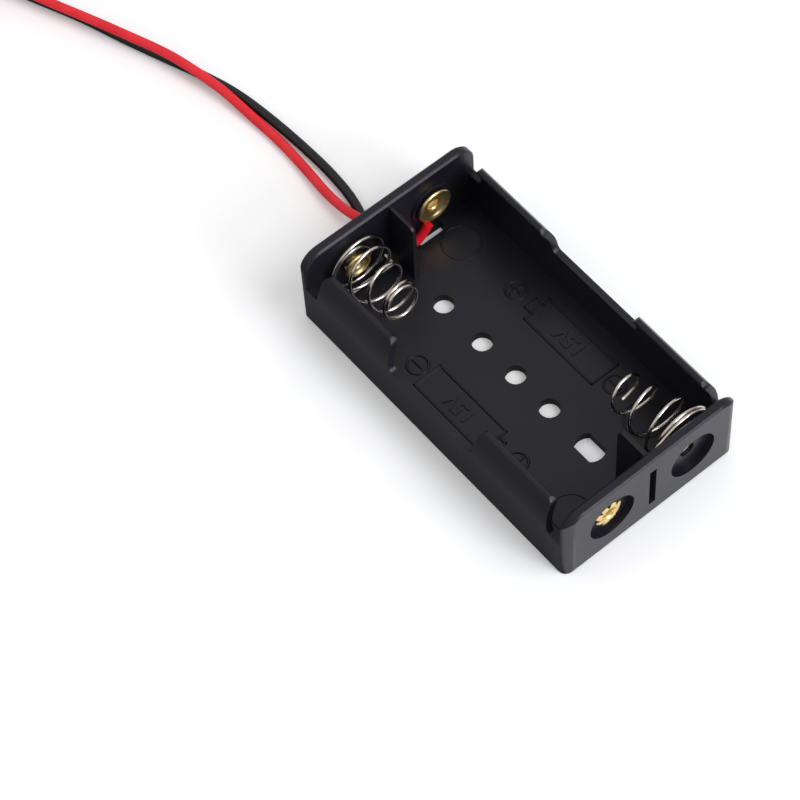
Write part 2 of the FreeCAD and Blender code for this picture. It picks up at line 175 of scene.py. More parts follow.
def extrudedPvc(name, colours):
    # PVC insulation, extruded over the strands: glossy, slightly wavy along its length
    material, shader, place = newMaterial(name, {"IOR": 1.53, "Specular IOR Level": 0.35,
                                                 "Coat Weight": 0.08, "Coat Roughness": 0.12})
    # die pulses about 4 mm apart
    waves = addNode(material, "ShaderNodeTexNoise", {"Scale": 260.0, "Detail": 2.0},
                    {"Vector": (place, "Object")})
    shadeBy(material, shader, waves, waves, colours, (0.24, 0.36))
    bump = addNode(material, "ShaderNodeBump", {"Strength": 0.2, "Distance": 0.1 * mm},
                   {"Height": (waves, "Fac")})
    connect(material, bump, "Normal", shader, "Normal")
    return material


def tinnedStrand():
    # Copper strands, tinned: dull silver, brighter where strands rub
    material, shader, place = newMaterial("copperStrandTinned", {"Metallic": 1.0})
    # tin patches are 0.05 mm, drawn 0.3 mm so that they show
    patches = addNode(material, "ShaderNodeTexNoise", {"Scale": 3000.0, "Detail": 2.0},
                      {"Vector": (place, "Object")})
    shadeBy(material, shader, patches, patches, ("#a8a49c", "#cfcbc2"), (0.28, 0.45))
    return material


def tieFilm():
    # Polyethylene band, extruded flat: soft black with faint die lines
    material, shader, place = newMaterial("polyethyleneBandExtruded", {"IOR": 1.51})
    # die lines are 0.1 mm, drawn 0.7 mm so that they show
    lines = addNode(material, "ShaderNodeTexNoise", {"Scale": 1500.0, "Detail": 2.0},
                    {"Vector": (place, "Object")})
    shadeBy(material, shader, lines, lines, ("#1c1c1d", "#2a2a2b"), (0.40, 0.55))
    return material


plastic = mouldedPlastic()
nickel = nickelWire()
brass = pressedBrass()
redPvc = extrudedPvc("pvcRedExtruded", ("#e01a28", "#ee2835"))
blackPvc = extrudedPvc("pvcBlackExtruded", ("#0f0f12", "#16161a"))
strand = tinnedStrand()
band = tieFilm()
print("materials made")


# Floor, world and lamps

studio = {
    "floorSize": 1.4,  # m
    "floorColour": "#fafafa",
    "floorLift": 0.12,  # glow that the camera and reflections add to the floor
    # mm along X and Y: short of both, reflections show the floor darkened, a painted shade
    "litFrom": (28.5, 15.5),
    "dimmed": 0.75,
    "skyColour": "#ffffff",
    "horizon": 0.43,  # strength of the world at the horizon
    "zenith": 0.72,  # and overhead
    "heights": (0.05, 0.75),  # of a direction, where the first ends and the second starts
}


def addFloor(values):
    half = values["floorSize"] / 2
    data = bpy.data.meshes.new("floor")
    corners = [(-half, -half, 0), (half, -half, 0), (half, half, 0), (-half, half, 0)]
    data.from_pydata(corners, [], [(0, 1, 2, 3)])
    plane = bpy.data.objects.new("floor", data)
    bpy.context.scene.collection.objects.link(plane)
    # Painted board: matt near white, lifted to paper white for the camera and in reflections
    material = bpy.data.materials.new("boardPaintedMatt")
    material.use_nodes = True
    material.node_tree.nodes.clear()
    paint = addNode(material, "ShaderNodeBsdfDiffuse", {"Color": linear(values["floorColour"])})
    path = addNode(material, "ShaderNodeLightPath")
    seen = addNode(material, "ShaderNodeMath", {"operation": "MAXIMUM"},
                   {0: (path, "Is Camera Ray"), 1: (path, "Is Glossy Ray")})
    lift = addNode(material, "ShaderNodeMath",
                   {"operation": "MULTIPLY", 1: values["floorLift"]}, {0: (seen, 0)})
    glow = addNode(material, "ShaderNodeEmission", {"Color": linear("#ffffff")},
                   {"Strength": (lift, 0)})
    lit = addNode(material, "ShaderNodeAddShader", links={0: (paint, 0), 1: (glow, 0)})
    # painted shade: short of litFrom on both axes, glossy rays see the board mixed towards black by
    # the dimmed share
    place = addNode(material, "ShaderNodeTexCoord")
    across = addNode(material, "ShaderNodeSeparateXYZ", links={0: (place, "Object")})
    short = [addNode(material, "ShaderNodeMath", {"operation": "LESS_THAN", 1: edge * mm},
                     {0: (across, axis)}) for axis, edge in zip("XY", values["litFrom"])]
    shaded = addNode(material, "ShaderNodeMath", {"operation": "MULTIPLY"},
                     {0: (short[0], 0), 1: (short[1], 0)})
    mirrored = addNode(material, "ShaderNodeMath", {"operation": "MULTIPLY"},
                       {0: (path, "Is Glossy Ray"), 1: (shaded, 0)})
    dim = addNode(material, "ShaderNodeMath",
                  {"operation": "MULTIPLY", 1: values["dimmed"]}, {0: (mirrored, 0)})
    dark = addNode(material, "ShaderNodeEmission", {"Color": linear("#000000"), "Strength": 0.0})
    shown = addNode(material, "ShaderNodeMixShader", links={0: (dim, 0), 1: (lit, 0), 2: (dark, 0)})
    addNode(material, "ShaderNodeOutputMaterial", links={"Surface": (shown, 0)})
    data.materials.append(material)


def addWorld(values):
    world = bpy.data.worlds.new("studio")
    bpy.context.scene.world = world
    world.use_nodes = True
    world.node_tree.nodes.clear()
    # overhead light: the strength rises with the height of the direction, and is 1 for the camera
    place = addNode(world, "ShaderNodeTexCoord")
    height = addNode(world, "ShaderNodeSeparateXYZ", links={0: (place, "Generated")})
    room = addNode(world, "ShaderNodeMapRange",
                   {"From Min": values["heights"][0], "From Max": values["heights"][1],
                    "To Min": values["horizon"], "To Max": values["zenith"]},
                   {"Value": (height, "Z")})
    path = addNode(world, "ShaderNodeLightPath")
    level = addNode(world, "ShaderNodeMapRange", {"To Max": 1.0},
                    {"Value": (path, "Is Camera Ray"), "To Min": (room, "Result")})
    sky = addNode(world, "ShaderNodeBackground", {"Color": linear(values["skyColour"])},
                  {"Strength": (level, "Result")})
    addNode(world, "ShaderNodeOutputWorld", links={"Surface": (sky, 0)})


lamps = {
    "softboxAbove": {"place": (0.42, 0.25, 0.66), "aim": (0, 0, 0), "size": 0.40,
                     "power": 2.2, "colour": "#ffffff"},
    "softboxSide": {"place": (0.70, 0.16, 0.38), "aim": (0, 0, 0), "size": 0.30,
                    "power": 2.25, "colour": "#e8ecff"},
}


def addLamp(name, values):
    data = bpy.data.lights.new(name, "AREA")
    data.size = values["size"]
    data.energy = values["power"]
    data.color = linear(values["colour"])[:3]
    lamp = bpy.data.objects.new(name, data)
    lamp.location = values["place"]
    aim = Vector(values["aim"]) - Vector(values["place"])
    lamp.rotation_euler = aim.to_track_quat("-Z", "Y").to_euler()
    bpy.context.scene.collection.objects.link(lamp)


addFloor(studio)
addWorld(studio)
for lampName, lampValues in lamps.items():
    addLamp(lampName, lampValues)
bpy.context.scene.view_settings.view_transform = "Standard"
print("studio ready")


# Mesh helpers

def finishPiece(piece, material, body, nodes=()):
    piece.data.materials.clear()
    piece.data.materials.append(material)
    bpy.context.scene.collection.objects.link(piece)
    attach(piece, body)
    if nodes:
        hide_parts(*nodes)
    return piece


def appliedMesh(piece):
    # what the piece evaluates to, as a mesh of its own; the piece goes
    bpy.context.scene.collection.objects.link(piece)
    bpy.context.view_layer.update()
    graph = bpy.context.evaluated_depsgraph_get()
    data = bpy.data.meshes.new_from_object(piece.evaluated_get(graph))
    bpy.data.objects.remove(piece)
    return data


def gridQuads(rows, columns, closeRows, closeColumns, first=0):
    # quads between neighbouring points of a rows by columns grid, wrapped where asked
    i = np.arange(rows if closeRows else rows - 1)[:, None]
    j = np.arange(columns if closeColumns else columns - 1)[None, :]
    nextI, nextJ = (i + 1) % rows, (j + 1) % columns
    quads = np.stack(np.broadcast_arrays(i * columns + j, i * columns + nextJ,
                                         nextI * columns + nextJ, nextI * columns + j), -1)
    return quads.reshape(-1, 4) + first


def meshFrom(name, points, faces, sharpAngle=40, joinWithin=1e-7):
    data = bpy.data.meshes.new(name)
    data.from_pydata(np.asarray(points).reshape(-1, 3).tolist(), [], [list(f) for f in faces])
    data.validate()
    shape = bmesh.new()
    shape.from_mesh(data)
    bmesh.ops.remove_doubles(shape, verts=shape.verts, dist=joinWithin)
    bmesh.ops.recalc_face_normals(shape, faces=shape.faces)
    shape.to_mesh(data)
    shape.free()
    data.shade_smooth()
    data.set_sharp_from_angle(angle=math.radians(sharpAngle))
    return bpy.data.objects.new(name, data)


def smoothThrough(points, pieces):
    # Catmull-Rom: each span is a cubic through its own two points, steered by their neighbours
    padded = np.concatenate([2 * points[:1] - points[1:2], points, 2 * points[-1:] - points[-2:-1]])
    t = np.linspace(0, 1, pieces, endpoint=False)[None, :, None]
    a, b, c, d = (padded[i:len(padded) - 3 + i][:, None] for i in range(4))
    spans = 0.5 * (2 * b + (c - a) * t + (2 * a - 5 * b + 4 * c - d) * t ** 2
                   + (3 * b - a - 3 * c + d) * t ** 3)
    return np.concatenate([spans.reshape(-1, points.shape[1]), points[-1:]])


# Housing: the CAD solid, merged, with a bevel on its sharp edges. The bevel's clamp leaves it only
# about 0.001 mm wide, so what shows is mainly the solid's own chamfers.

housing = {  # mm, as in the CAD
    "halfLength": 29.0,
    "cellY": 7.45,
    "contactHeight": 7.8,
    "floor": 1.5,
    "recessDepth": 1.2,
    "bossFace": 1.85,
}

edges = {
    "radius": 0.16,  # mm
    "segments": 3,
    "angle": 32,  # degrees: shallower edges stay as they are
    "flatWithin": 0.6,  # degrees: faces this close to one plane become one
    "joinWithin": 2e-6,  # m
    "faceWeight": 80,
    "ejectorDepth": 0.06,
    "sameHeight": 0.01,  # mm, heights this close count as one
}

ribs = {
    "from": 21.9,  # mm from the middle
    "to": 27.45,
    "half": 0.51,  # a hair over half the thickness
    "top": 13.9,
    "nearTop": 14.35,
    "stretchFrom": 12.5,
    "topShares": (0.5, 0.75),  # thickness at the top as part of the foot's, wire end first
}


def draftRibs(data, values):
    # each rib narrows evenly from the floor to its top, as it must to leave the mould: y times a
    # share that falls with z. The near one rises to the rim: its last 1.4 mm of z are stretched.
    floor, top, stretchFrom = housing["floor"], values["top"], values["stretchFrom"]
    spots = np.empty(len(data.vertices) * 3)
    data.vertices.foreach_get("co", spots)
    x, y, z = (spots / mm).reshape(-1, 3).T.copy()
    rib = (np.abs(x) > values["from"]) & (np.abs(x) < values["to"]) & (np.abs(y) < values["half"])
    rib = rib & (z > floor) & (z < top + edges["sameHeight"])
    share = np.clip((z - floor) / (top - floor), 0, 1)
    slim = np.where(x < 0, *values["topShares"])
    y = np.where(rib, y * (1 - (1 - slim) * share), y)
    lift = np.clip((z - stretchFrom) / (top - stretchFrom), 0, 1) * (values["nearTop"] - top)
    z = np.where(rib & (x > 0), z + lift, z)
    data.vertices.foreach_set("co", (np.stack([x, y, z], 1) * mm).ravel())


def easedHousing(values):
    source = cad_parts["housing"]
    data = source.data.copy()
    data.transform(source.matrix_world)
    # the three ejector discs come up to the floor, because the marks' rings show them
    spots = np.empty(len(data.vertices) * 3)
    data.vertices.foreach_get("co", spots)
    z = spots[2::3]
    sunk = np.abs(z / mm - housing["floor"] + values["ejectorDepth"]) < values["sameHeight"]
    z[sunk] = housing["floor"] * mm
    data.vertices.foreach_set("co", spots)
    shape = bmesh.new()
    shape.from_mesh(data)
    bmesh.ops.remove_doubles(shape, verts=shape.verts, dist=values["joinWithin"])
    bmesh.ops.dissolve_limit(shape, angle_limit=math.radians(values["flatWithin"]),
                             verts=shape.verts, edges=shape.edges, use_dissolve_boundaries=False)
    bmesh.ops.recalc_face_normals(shape, faces=shape.faces)
    shape.to_mesh(data)
    shape.free()
    draftRibs(data, ribs)
    data.shade_smooth()
    rough = bpy.data.objects.new("housing_shell", data)
    soften = rough.modifiers.new("ease", "BEVEL")
    soften.width = values["radius"] * mm
    soften.segments = values["segments"]
    soften.limit_method = "ANGLE"
    soften.angle_limit = math.radians(values["angle"])
    soften.use_clamp_overlap = True
    soften.harden_normals = True
    flatten = rough.modifiers.new("flatten", "WEIGHTED_NORMAL")  # large faces keep their own normal
    flatten.weight = values["faceWeight"]
    flatten.keep_sharp = True
    made = appliedMesh(rough)
    made.name = "housing_shell"
    piece = bpy.data.objects.new("housing_shell", made)
    return finishPiece(piece, plastic, "holder", ["housing"])


easedHousing(edges)
print("housing eased")


# Marks moulded on the floor: an outline of each cell, its voltage, and its two signs in rings

marks = {
    "ridge": 0.5,  # mm, at the foot
    "crest": 0.16,
    "rise": 0.2,
    "sink": 0.02,
    "boxWidth": 4.9,
    "nubWidth": 2.2,
    "nubLength": 1.4,
    "ringDiameter": 3.2,
    "ringSteps": 48,
    "signReach": 0.32,  # of the ring's diameter, each way from its centre
    "textSize": 3.3,
    "textSpacing": 0.86,
    "textBold": 0.06,
    "cells": (
        {"start": -8.2, "end": 6.3, "y": -9.6, "nub": 1, "minus": (-10.5, -9.5),
         "plus": (11.1, -9.3)},
        {"start": -6.3, "end": 8.3, "y": 9.6, "nub": -1, "minus": (10.6, 9.55),
         "plus": (-10.9, 9.5)},
    ),
    "ejectors": ((-22.5, 8.9), (22.2, -8.9), (17.6, 8.9)),
    "ejectorDiameter": 6.0,
    "ejectorRidge": 0.36,
    "ejectorRise": 0.12,
}


def ridge(start, end, values):
    # straight moulded ridge: a low bar with a narrower top, from start to end on the floor, as a
    # section of (across, beyond the end, z) points set at both ends
    ends = np.array([start, end], float)
    along = (ends[1] - ends[0]) / np.linalg.norm(ends[1] - ends[0])
    across = np.array([-along[1], along[0]])
    foot, crest = values["ridge"] / 2, values["crest"] / 2
    low, top = housing["floor"] - values["sink"], housing["floor"] + values["rise"]
    section = np.array([(-foot, foot, low), (foot, foot, low), (crest, crest, top),
                        (-crest, crest, top)])
    push = np.array([-1, 1])[:, None, None]
    flat = ends[:, None] + push * section[:, 1:2] * along + section[:, 0:1] * across
    height = np.broadcast_to(section[:, 2:], (2, 4, 1))
    faces = [(3, 2, 1, 0), (4, 5, 6, 7), (1, 5, 4, 0), (2, 6, 5, 1), (3, 7, 6, 2), (0, 4, 7, 3)]
    return np.concatenate([flat, height], -1).reshape(-1, 3) * mm, faces


def ringRidge(centre, diameter, width, rise, values):
    # low ring: section (out, up) turned about the vertical through its centre
    foot, crest, steps = width / 2, values["crest"] / 2, values["ringSteps"]
    section = np.array([(-foot, -values["sink"]), (foot, -values["sink"]), (crest, rise),
                        (-crest, rise)])
    turn = np.linspace(0, 2 * np.pi, steps, endpoint=False)[:, None]
    radius = diameter / 2 + section[:, 0][None]
    points = np.stack([centre[0] + radius * np.cos(turn), centre[1] + radius * np.sin(turn),
                       housing["floor"] + section[:, 1][None] + 0 * turn], -1)
    return points.reshape(-1, 3) * mm, gridQuads(steps, 4, True, True)[:, ::-1].tolist()


def voltageText(centre, values):
    # the words as a mesh: read along -X, their tops towards -Y
    curve = bpy.data.curves.new("voltage", "FONT")
    curve.body = "1.5V"
    curve.size = values["textSize"] * mm
    curve.extrude = values["rise"] / 2 * mm
    curve.offset = values["textBold"] * mm
    curve.space_character = values["textSpacing"]
    curve.align_x = "CENTER"
    curve.align_y = "CENTER"
    data = appliedMesh(bpy.data.objects.new("voltage", curve))
    height = housing["floor"] + values["rise"] / 2 - values["sink"]
    place = Matrix.Translation(Vector((*centre, height)) * mm)
    data.transform(place @ Matrix.Rotation(math.pi, 4, "Z"))
    points = np.empty(len(data.vertices) * 3)
    data.vertices.foreach_get("co", points)
    return points.reshape(-1, 3), [list(p.vertices) for p in data.polygons]


def cellMarks(cell, values):
    y, x0, x1 = cell["y"], cell["start"], cell["end"]
    half, nub = values["boxWidth"] / 2, values["nubWidth"] / 2
    tip = x1 if cell["nub"] > 0 else x0
    far = tip + cell["nub"] * values["nubLength"]
    outline = [((x0, y - half), (x1, y - half)), ((x0, y + half), (x1, y + half)),
               ((x0, y - half), (x0, y + half)), ((x1, y - half), (x1, y + half)),
               ((tip, y - nub), (far, y - nub)), ((tip, y + nub), (far, y + nub)),
               ((far, y - nub), (far, y + nub))]
    parts = [ridge(a, b, values) for a, b in outline]
    reach = values["ringDiameter"] * values["signReach"]
    for sign in ("minus", "plus"):
        x, signY = cell[sign]
        parts.append(ringRidge((x, signY), values["ringDiameter"], values["ridge"], values["rise"],
                               values))
        parts.append(ridge((x - reach, signY), (x + reach, signY), values))
        if sign == "plus":
            parts.append(ridge((x, signY - reach), (x, signY + reach), values))
    return parts + [voltageText(((x0 + x1) / 2, y), values)]


def floorMarks(values):
    parts = [part for cell in values["cells"] for part in cellMarks(cell, values)]
    parts += [ringRidge(spot, values["ejectorDiameter"], values["ejectorRidge"],
                        values["ejectorRise"], values) for spot in values["ejectors"]]
    points, faces, count = [], [], 0
    for partPoints, partFaces in parts:
        points.append(partPoints)
        faces += [[i + count for i in face] for face in partFaces]
        count += len(partPoints)
    data = bpy.data.meshes.new("floor_marks")
    data.from_pydata(np.concatenate(points).tolist(), [], faces)
    piece = bpy.data.objects.new("floor_marks", data)
    return finishPiece(piece, plastic, "holder")


floorMarks(marks)
print("marks moulded")


# Rivets: a turned head with a rolled rim, a barrel, and the petals that clench it outside

rivets = {
    "barrelDiameter": 2.4,  # mm
    "wall": 0.25,
    # head: rise over the seat in mm, share of the way from bore to rim
    "funnel": ((-0.3, 0.0), (-0.12, 0.06), (0.02, 0.18), (0.1, 0.34), (0.2, 0.48), (0.38, 0.6),
               (0.5, 0.73), (0.5, 0.84), (0.4, 0.94), (0.2, 1.0), (0.03, 0.97), (0.0, 0.88)),
    "funnelSteps": 4,
    "turnSteps": 64,
    "overlap": 0.05,  # of head and petals in the barrel
    "petals": 8,
    "petalSteps": 9,
    "petalSpread": 4.9,
    # petals: rise over the recess in mm, share of the way from bore to tip
    "curl": ((-0.5, 0.0), (0.0, 0.02), (0.35, 0.08), (0.56, 0.2), (0.64, 0.38), (0.62, 0.65),
             (0.55, 0.85), (0.45, 1.0)),
    "curlSteps": 3,
    "deepest": -0.6,
    "shortest": 0.86,  # petal, as part of a full one
    "tilt": 0.16,  # mm that a petal's tip may stand higher or lower than the next
    "tiltRange": (-1, 0.5),
    "sway": 0.03,  # radians that a tip may sit round from its place
    "gap": 0.01,  # between petals, as part of their width
    "notch": 0.42,  # part of a petal's width that its two notches take at the rim
    "notchFrom": 0.55,
    "point": 0.10,  # how much shorter a petal is at its sides
    "seed": 7,
    "each": (
        {"name": "positive_eyelet_brass", "node": "positive_eyelet", "end": -1, "side": 1,
         "flange": 6.1, "stack": 0.3},
        {"name": "output_eyelet_brass", "node": "output_spring_eyelet", "end": -1, "side": -1,
         "flange": 4.5, "stack": 0.9},
        {"name": "link_eyelet_brass", "node": "link_eyelet", "end": 1, "side": -1,
         "flange": 4.5, "stack": 0.6},
    ),
}


def turned(profile, end, side, steps):
    # profile of (depth, radius) points turned about the contact axis
    turn = np.linspace(0, 2 * np.pi, steps, endpoint=False)[:, None]
    depth, radius = profile[:, 0][None], profile[:, 1][None]
    x = end * (housing["halfLength"] - depth) + 0 * turn
    y = side * housing["cellY"] + radius * np.cos(turn)
    z = housing["contactHeight"] + radius * np.sin(turn)
    return np.stack([x, y, z], -1) * mm


def headProfile(values, flange, seat):
    # (depth, radius) round the rivet: up the bore, out of its funnel, over the rolled rim, back
    # under it
    inner = values["barrelDiameter"] / 2 - values["wall"]
    outer = values["barrelDiameter"] / 2
    rises, shares = np.array(values["funnel"]).T
    shown = np.stack([seat + rises, inner + (flange / 2 - inner) * shares], 1)
    foot = housing["recessDepth"] + values["overlap"]
    return np.concatenate([[(foot, inner)], smoothThrough(shown, values["funnelSteps"]),
                           [(seat, outer), (foot, outer)]])


def petalRing(values, end, side):
    # each petal is a closed strip profile (radius, rise) carried over its share of the turn: a
    # whole funnel near the bore, then narrowed by a V-notch, with its tip a little long or short
    inner = values["barrelDiameter"] / 2 - values["wall"]
    rise, s = smoothThrough(np.array(values["curl"]), values["curlSteps"]).T
    under = np.maximum(rise - values["wall"], values["deepest"])
    share = np.concatenate([s, s[::-1]])
    profile = np.concatenate([rise, under[::-1]])
    notchFrom = values["notchFrom"]
    opened = values["notch"] * np.clip((share - notchFrom) / (1 - notchFrom), 0, 1)
    draw = np.random.default_rng(values["seed"])
    points, faces, count = [], [], 0
    steps, sway, shortest = values["petalSteps"], values["sway"], values["shortest"]
    length = values["petalSpread"] / 2 - inner
    v = np.linspace(-1, 1, steps)[:, None]
    for k in range(values["petals"]):
        radius = inner + length * share * draw.uniform(shortest, 1)
        half = np.pi / values["petals"] * (1 - values["gap"] - opened)
        middleTurn = 2 * np.pi * (k + 0.5) / values["petals"]
        turn = middleTurn + draw.uniform(-sway, sway) * share + v * half[None]
        # the tip is pointed: points near the sides draw in by the square of v
        reach = radius[None] - (radius[None] - inner) * values["point"] * v ** 2
        lean = draw.uniform(*values["tiltRange"]) * values["tilt"] * share ** 2
        depth = housing["recessDepth"] - (profile + lean)
        x = end * (housing["halfLength"] - depth[None] + 0 * v)
        grid = np.stack([x, side * housing["cellY"] + reach * np.cos(turn),
                         housing["contactHeight"] + reach * np.sin(turn)], -1)
        m = grid.shape[1]
        points.append(grid.reshape(-1, 3) * mm)
        faces += gridQuads(steps, m, False, True, count).tolist()
        faces += [list(range(count, count + m)),
                  list(range(count + (steps - 1) * m, count + steps * m))]
        count += steps * m
    return np.concatenate(points), faces


def addRivet(values, one):
    seat = housing["bossFace"] + one["stack"]
    profile = headProfile(values, one["flange"], seat)
    head = turned(profile, one["end"], one["side"], values["turnSteps"])
    points, faces = petalRing(values, one["end"], one["side"])
    rows, columns = head.shape[:2]
    headFaces = gridQuads(rows, columns, True, True).tolist()
    faces = headFaces + [[i + rows * columns for i in face] for face in faces]
    piece = meshFrom(one["name"], np.concatenate([head.reshape(-1, 3), points]), faces)
    return finishPiece(piece, brass, "holder", [one["node"]])


for one in rivets["each"]:
    addRivet(rivets, one)
print("rivets turned")


# Springs: round wire wound right-handed on a cone

springs = {
    "wire": 0.6,  # mm
    "drawn": 0.54,  # the section that shows, inside the CAD's
    "sides": 14,
    "tip": 6.3,
    "hook": 3.1,
    "closedGap": 0.02,
    "steps": 36,  # points a turn
    "output": {"end": -1, "base": 10.2, "depth": 2.45, "hookTurns": 1.3, "baseTurns": 0.75,
               "coneTurns": 2.75, "tipTurns": 1.2, "pitch": 3.2, "centre": (-7.30, 8.15),
               "drift": 0.29, "lean": 0.17, "start": 0.0, "travel": 8.0},
    "link": {"end": 1, "base": 10.6, "depth": 2.38,
             "hookTurns": (-1.195, -0.525),  # from and to, counted from the base ring's start
             "baseTurns": 1.92, "coneTurns": 2.54, "tipTurns": 0.54, "pitch": 4.0,
             "centre": (7.93, 8.6), "drift": -0.99, "lean": 0.0, "start": 0.446, "travel": 9.5,
             "passHeight": 11.1,  # where the wire crosses the slot
             "passSteps": 12},
}


def windingSpots(end, y, z, radius, turn, depth, lean=0.0):
    # round (y, z) with the turns, whole turns lowest; the plane of each turn leans back at its top
    angle = -np.pi / 2 - end * 2 * np.pi * turn
    back = lean * radius * np.sin(angle)
    return np.stack([end * (housing["halfLength"] - depth + back), y + radius * np.cos(angle),
                     z + radius * np.sin(angle)], -1)


def coilRise(values, one, turn):
    # closed turns rise by the wire and a hair, open turns by the pitch
    openTurn = turn - one["baseTurns"]
    share = np.clip(openTurn / one["coneTurns"], 0, 1)
    closed = np.minimum(turn, one["baseTurns"]) + np.clip(openTurn - one["coneTurns"], 0, None)
    rise = (values["wire"] + values["closedGap"]) * closed + one["pitch"] * one["coneTurns"] * share
    return share, rise


def coilLine(values, one):
    # closed base turns, a cone of open turns that drifts along Y, closed tip turns; the lean sets
    # in over the first third of the cone
    last = one["baseTurns"] + one["coneTurns"] + one["tipTurns"]
    turn = np.linspace(one["start"], last, int((last - one["start"]) * values["steps"]) + 1)
    share, rise = coilRise(values, one, turn)
    baseRadius = (one["base"] - values["wire"]) / 2
    tipRadius = (values["tip"] - values["wire"]) / 2
    radius = baseRadius + (tipRadius - baseRadius) * share
    y, z = one["centre"]
    return windingSpots(one["end"], y + one["drift"] * share, z, radius, turn, one["depth"] + rise,
                        one["lean"] * np.minimum(1, 3 * share))


def outputLine(values, one):
    # a flat hook under the rivet, opening over its last turn into the base ring
    hook, base = (values["hook"] + values["wire"]) / 2, (one["base"] - values["wire"]) / 2
    hookTurns = one["hookTurns"]
    turn = np.linspace(-hookTurns, 0, int(hookTurns * values["steps"]) + 1)[:-1]
    opening = np.clip(1 + turn, 0, None)
    y, z = one["centre"]
    start = windingSpots(one["end"], -housing["cellY"] + (y + housing["cellY"]) * opening,
                         housing["contactHeight"] + (z - housing["contactHeight"]) * opening,
                         hook + (base - hook) * opening, turn, one["depth"] + 0 * turn)
    return np.concatenate([start, coilLine(values, one)])


def linkLine(values, one):
    # a hook under the other bay's rivet, then a bridge by the top of the slot to the base ring: a
    # smooth line through two points of the hook, the bend at the slot and two points of the coil
    depth = housing["bossFace"] + values["wire"] / 2
    hook = (values["hook"] + values["wire"]) / 2
    first, last = one["hookTurns"]
    turn = np.linspace(first, last, int((last - first) * values["steps"]) + 1)
    start = windingSpots(one["end"], -housing["cellY"], housing["contactHeight"], hook, turn,
                         depth + 0 * turn)
    coil = coilLine(values, one)
    bend = np.array([(housing["halfLength"] - (depth + one["depth"]) / 2, 0, one["passHeight"])])
    bridge = smoothThrough(np.concatenate([start[-4::3], bend, coil[:4:3]]), one["passSteps"])
    return np.concatenate([start[:-4], bridge, coil[4:]])


def wireGroup(values):
    # node group: the line becomes a curve, and a circle of the wire's size runs along it
    group = bpy.data.node_groups.new("roundWire", "GeometryNodeTree")
    group.interface.new_socket("Geometry", in_out="INPUT", socket_type="NodeSocketGeometry")
    group.interface.new_socket("Geometry", in_out="OUTPUT", socket_type="NodeSocketGeometry")
    nodes, links = group.nodes, group.links
    start, finish = nodes.new("NodeGroupInput"), nodes.new("NodeGroupOutput")
    line = nodes.new("GeometryNodeMeshToCurve")
    circle = nodes.new("GeometryNodeCurvePrimitiveCircle")
    circle.inputs["Resolution"].default_value = values["sides"]
    circle.inputs["Radius"].default_value = values["drawn"] / 2 * mm
    bar = nodes.new("GeometryNodeCurveToMesh")
    bar.inputs["Fill Caps"].default_value = True
    paint = nodes.new("GeometryNodeSetMaterial")
    paint.inputs["Material"].default_value = nickel
    links.new(start.outputs[0], line.inputs["Mesh"])
    links.new(line.outputs["Curve"], bar.inputs["Curve"])
    links.new(circle.outputs["Curve"], bar.inputs["Profile Curve"])
    links.new(bar.outputs["Mesh"], paint.inputs["Geometry"])
    links.new(paint.outputs["Geometry"], finish.inputs[0])
    return group


roundWire = wireGroup(springs)


def addSpring(name, line, node):
    data = bpy.data.meshes.new(name)
    count = len(line)
    pairs = np.stack([np.arange(count - 1), np.arange(1, count)], 1)
    data.from_pydata((line * mm).tolist(), pairs.tolist(), [])
    piece = bpy.data.objects.new(name, data)
    wire = piece.modifiers.new("wire", "NODES")
    wire.node_group = roundWire
    finishPiece(piece, nickel, "holder", [node])
    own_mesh(piece)
    return piece


addSpring("output_spring_wire", outputLine(springs, springs["output"]),
          "output_spring")
addSpring("link_spring_wire", linkLine(springs, springs["link"]),
          "link_spring")
print("springs wound")


# Leads: one NURBS line each, from its rivet out through the foot of the end wall to the put-away
# turn, and seven fine strands at its far end

